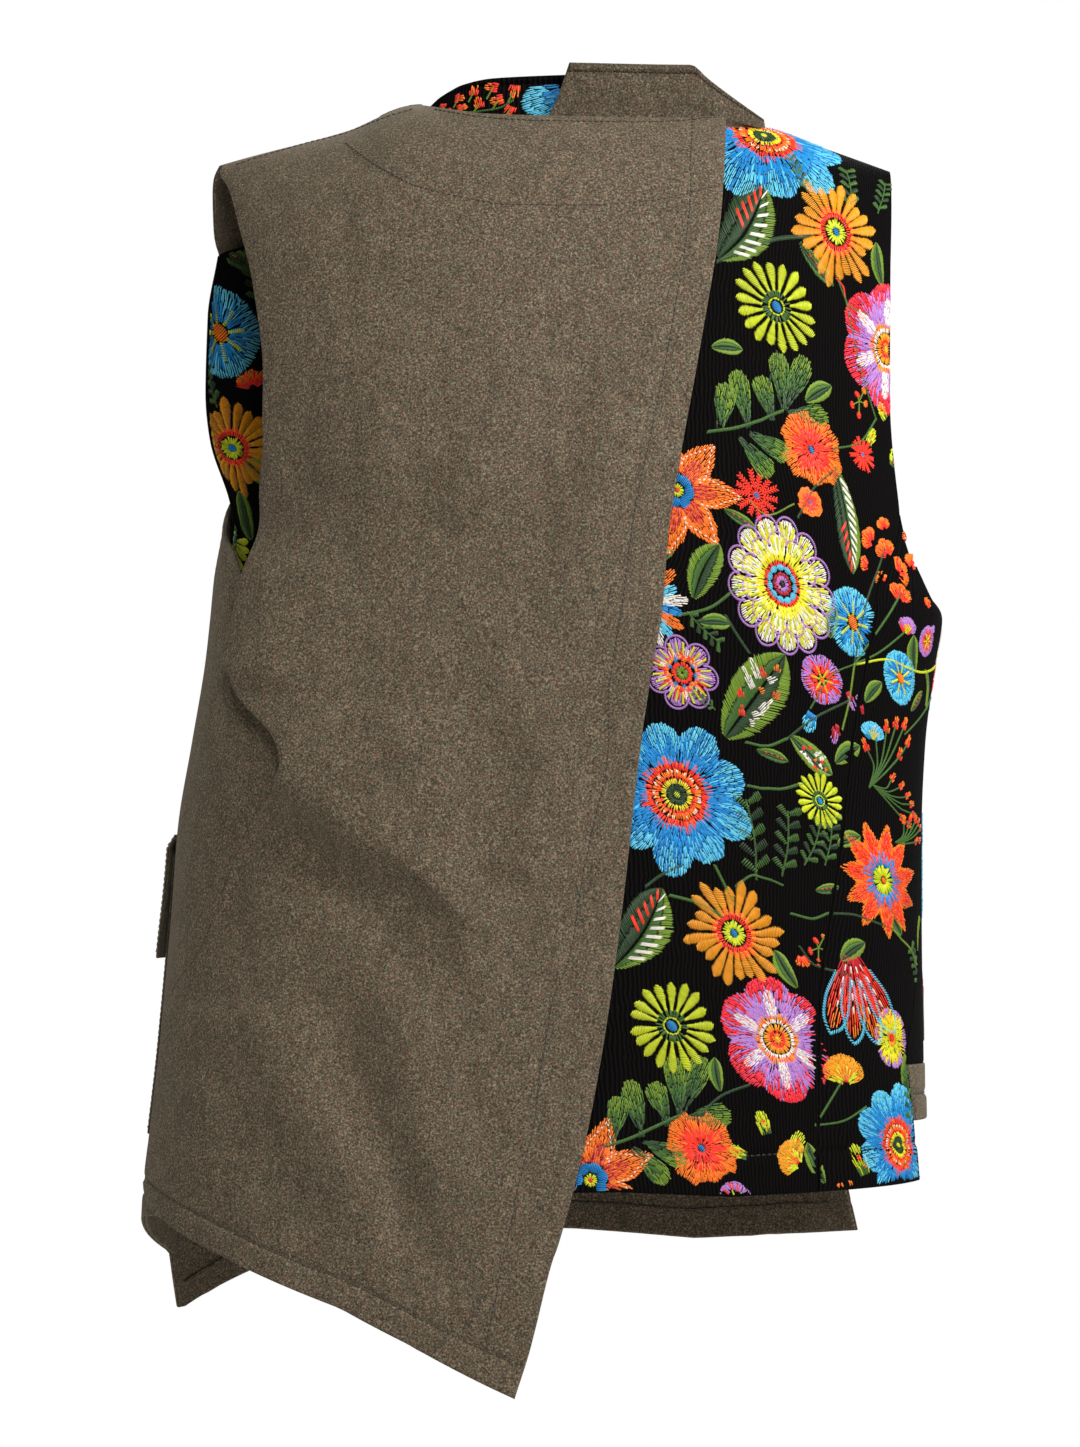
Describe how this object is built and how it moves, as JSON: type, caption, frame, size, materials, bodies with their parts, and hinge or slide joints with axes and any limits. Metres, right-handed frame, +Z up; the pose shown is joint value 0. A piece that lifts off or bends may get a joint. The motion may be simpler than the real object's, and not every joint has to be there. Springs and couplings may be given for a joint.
{
  "type": "asymmetric wrap waistcoat",
  "caption": "Sleeveless asymmetric wrap waistcoat held in worn form, felted wool over floral embroidered cloth, with stand collar, patch pocket, slanted free edges and pointed hems.",
  "frame": {"origin": "on the wearer, between the two neck points of the shoulder seams, where the neck and shoulders hold the garment", "axes": "+X to the wearer's right, +Y out of the chest to the front, so that the back faces -Y, and +Z up"},
  "size_m": [0.4682, 0.2736, 0.7707],
  "materials": {
    "felted_wool": "felted melange wool, matt with a short nap",
    "embroidered_cloth": "black ribbed cloth with bright floral thread embroidery"
  },
  "bodies": {
    "root": {"wool_back": "felted_wool", "wool_front": "felted_wool", "wool_hem_band": "felted_wool", "wool_collar": "felted_wool", "pocket_patch": "felted_wool", "pocket_flap": "felted_wool", "embroidered_back": "embroidered_cloth", "embroidered_side_back": "embroidered_cloth", "embroidered_front": "embroidered_cloth", "embroidered_collar": "embroidered_cloth"}
  },
  "joints": []
}
